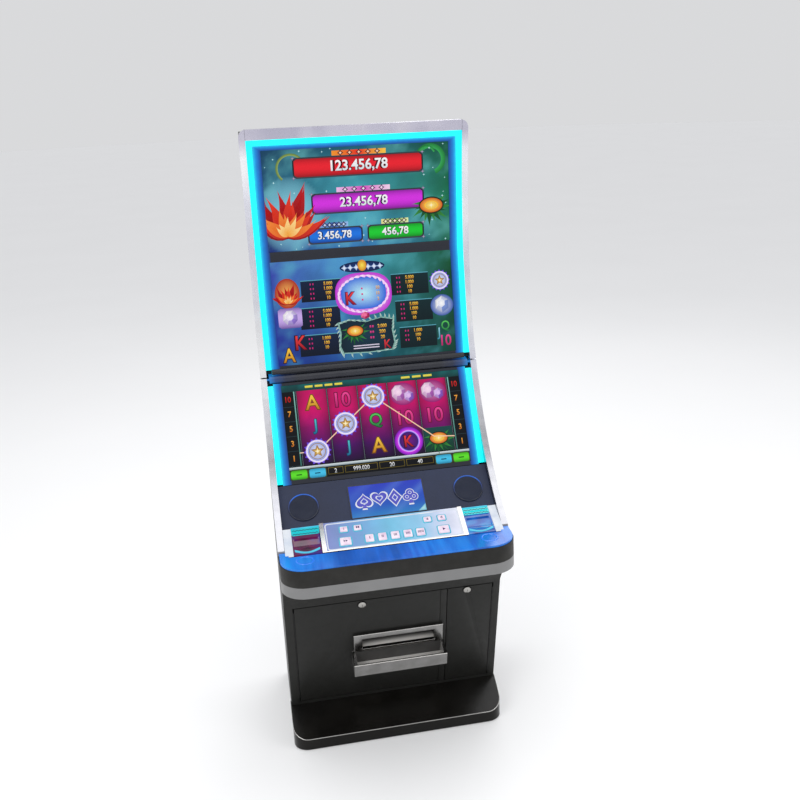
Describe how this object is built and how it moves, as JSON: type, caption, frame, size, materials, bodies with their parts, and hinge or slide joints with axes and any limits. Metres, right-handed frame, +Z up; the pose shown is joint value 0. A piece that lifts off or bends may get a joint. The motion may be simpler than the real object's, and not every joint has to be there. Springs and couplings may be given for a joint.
{
  "type": "slot machine",
  "caption": "Floor-standing slot machine with stacked screens following a curved face, lit side strips, a button deck, a soft bumper, lockable pedestal doors and a coin tray.",
  "frame": {"origin": "on the floor, at the bottom centre of the machine's bounding box", "axes": "+X to the player's right, +Y from the player towards the back, +Z up"},
  "size_m": [0.65, 0.67, 1.829],
  "materials": {
    "black_board": "satin black laminate on board",
    "black_metal": "fine-textured black powder coat",
    "gloss_black": "gloss black lacquer on board",
    "satin_aluminium": "satin brushed",
    "chrome": "polished and satin chrome",
    "zinc_steel": "zinc plated",
    "unit_case": "grey housing",
    "divider_grey": "dark grey satin",
    "bezel_glow": "dark bezel with blue glow",
    "led_cyan": "lit cyan light guide",
    "screen_upper": "lit display behind glass",
    "screen_middle": "lit display behind glass",
    "screen_lower": "lit display behind glass",
    "slate_panel": "dark slate satin",
    "speaker_black": "fine cloth grille",
    "emblem_blue": "backlit royal blue panel with outlined card suits",
    "panel_lilac": "backlit frosted panel",
    "button_white": "lit translucent caps",
    "deck_azure": "glossy azure",
    "ticket_purple": "glossy dark purple with cyan light",
    "note_cyan": "glossy cyan",
    "bumper_black": "soft black moulding",
    "bumper_grey": "satin mid grey",
    "black_plastic": "moulded black"
  },
  "bodies": {
    "cabinet": {"base_plate": "black_metal", "side_panel_left": "black_board", "side_panel_right": "black_board", "rear_shell": "black_metal", "pedestal_frame": "black_metal", "hinge_beam": "divider_grey", "footrest": "gloss_black", "service_door_pin": "zinc_steel", "cash_door_pin": "zinc_steel", "display_door_pin": "zinc_steel", "logic_box": "unit_case", "power_supply": "unit_case", "cash_box": "unit_case", "note_acceptor": "black_plastic", "ticket_printer": "black_plastic", "fan_housing": "black_plastic", "power_inlet": "black_plastic"},
    "display_door": {"display_door_trim": "satin_aluminium", "display_door_frame": "black_metal", "display_door_bezel": "bezel_glow", "upper_led_strip": "led_cyan", "upper_display": "screen_upper", "middle_display": "screen_middle", "divider_bar": "divider_grey"},
    "player_lid": {"lid_frame": "black_metal", "lid_rail_left": "satin_aluminium", "lid_rail_right": "satin_aluminium", "lid_bezel": "bezel_glow", "lower_led_strip_left": "led_cyan", "lower_led_strip_right": "led_cyan", "lower_display": "screen_lower", "speaker_panel": "slate_panel", "speaker_left": "speaker_black", "speaker_right": "speaker_black", "emblem_plate": "emblem_blue", "button_panel": "panel_lilac", "panel_trim": "chrome", "ticket_bezel": "ticket_purple", "note_bezel": "note_cyan", "deck_top": "deck_azure", "bumper_pad": "bumper_black", "bumper_band": "bumper_grey"},
    "service_door": {"service_door": "black_metal", "coin_tray": "chrome"},
    "cash_door": {"cash_door": "black_metal"},
    "service_lock": {"service_lock": "chrome"},
    "cash_lock": {"cash_lock": "chrome"},
    "fan_rotor": {"fan_rotor": "black_plastic"},
    "power_switch": {"power_switch": "black_plastic"},
    "button_info": {"button_info": "button_white"},
    "button_language": {"button_language": "button_white"},
    "button_service": {"button_service": "button_white"},
    "button_cashout": {"button_cashout": "button_white"},
    "button_autoplay": {"button_autoplay": "button_white"},
    "button_bet_1": {"button_bet_1": "button_white"},
    "button_bet_2": {"button_bet_2": "button_white"},
    "button_bet_3": {"button_bet_3": "button_white"},
    "button_bet_4": {"button_bet_4": "button_white"},
    "button_bet_5": {"button_bet_5": "button_white"},
    "button_start": {"button_start": "button_white"}
  },
  "joints": [
    {"name": "display_door_swing", "type": "hinge", "parent": "cabinet", "child": "display_door", "pos_m": [-0.3225, 0.2375, 1.45], "axis": [0, 0, -1], "range_deg": [0, 100]},
    {"name": "lid_lift", "type": "hinge", "parent": "cabinet", "child": "player_lid", "pos_m": [0, 0.134, 1.112], "axis": [-1, 0, 0], "range_deg": [0, 40]},
    {"name": "service_door_swing", "type": "hinge", "parent": "cabinet", "child": "service_door", "pos_m": [-0.2955, -0.06401, 0.30162], "axis": [0, 0.2785, -0.9604], "range_deg": [0, 55]},
    {"name": "cash_door_swing", "type": "hinge", "parent": "cabinet", "child": "cash_door", "pos_m": [0.3, -0.06401, 0.30162], "axis": [0, -0.2785, 0.9604], "range_deg": [0, 90]},
    {"name": "service_lock_turn", "type": "hinge", "parent": "service_door", "child": "service_lock", "pos_m": [-0.095, -0.11487, 0.47523], "axis": [0, -0.9604, -0.2785], "range_deg": [0, 90]},
    {"name": "cash_lock_turn", "type": "hinge", "parent": "cash_door", "child": "cash_lock", "pos_m": [0.221, -0.11598, 0.47907], "axis": [0, -0.9604, -0.2785], "range_deg": [0, 90]},
    {"name": "fan_spin", "type": "hinge", "parent": "cabinet", "child": "fan_rotor", "pos_m": [0.17, 0.308, 1.6], "axis": [0, 1, 0], "continuous": true},
    {"name": "power_switch_rock", "type": "hinge", "parent": "cabinet", "child": "power_switch", "pos_m": [-0.2, 0.3285, 0.2145], "axis": [1, 0, 0], "range_deg": [0, 12]},
    {"name": "button_info_press", "type": "slide", "parent": "player_lid", "child": "button_info", "axis": [0, 0.3999, -0.9166], "range_m": [0, 0.003], "stiffness_N_per_m": 300, "springref_m": -0.002},
    {"name": "button_language_press", "type": "slide", "parent": "player_lid", "child": "button_language", "axis": [0, 0.3999, -0.9166], "range_m": [0, 0.003], "stiffness_N_per_m": 300, "springref_m": -0.002},
    {"name": "button_service_press", "type": "slide", "parent": "player_lid", "child": "button_service", "axis": [0, 0.3999, -0.9166], "range_m": [0, 0.003], "stiffness_N_per_m": 300, "springref_m": -0.002},
    {"name": "button_cashout_press", "type": "slide", "parent": "player_lid", "child": "button_cashout", "axis": [0, 0.3999, -0.9166], "range_m": [0, 0.003], "stiffness_N_per_m": 300, "springref_m": -0.002},
    {"name": "button_autoplay_press", "type": "slide", "parent": "player_lid", "child": "button_autoplay", "axis": [0, 0.3999, -0.9166], "range_m": [0, 0.003], "stiffness_N_per_m": 300, "springref_m": -0.002},
    {"name": "button_bet_1_press", "type": "slide", "parent": "player_lid", "child": "button_bet_1", "axis": [0, 0.3999, -0.9166], "range_m": [0, 0.003], "stiffness_N_per_m": 300, "springref_m": -0.002},
    {"name": "button_bet_2_press", "type": "slide", "parent": "player_lid", "child": "button_bet_2", "axis": [0, 0.3999, -0.9166], "range_m": [0, 0.003], "stiffness_N_per_m": 300, "springref_m": -0.002},
    {"name": "button_bet_3_press", "type": "slide", "parent": "player_lid", "child": "button_bet_3", "axis": [0, 0.3999, -0.9166], "range_m": [0, 0.003], "stiffness_N_per_m": 300, "springref_m": -0.002},
    {"name": "button_bet_4_press", "type": "slide", "parent": "player_lid", "child": "button_bet_4", "axis": [0, 0.3999, -0.9166], "range_m": [0, 0.003], "stiffness_N_per_m": 300, "springref_m": -0.002},
    {"name": "button_bet_5_press", "type": "slide", "parent": "player_lid", "child": "button_bet_5", "axis": [0, 0.3999, -0.9166], "range_m": [0, 0.003], "stiffness_N_per_m": 300, "springref_m": -0.002},
    {"name": "button_start_press", "type": "slide", "parent": "player_lid", "child": "button_start", "axis": [0, 0.3999, -0.9166], "range_m": [0, 0.003], "stiffness_N_per_m": 300, "springref_m": -0.002}
  ]
}
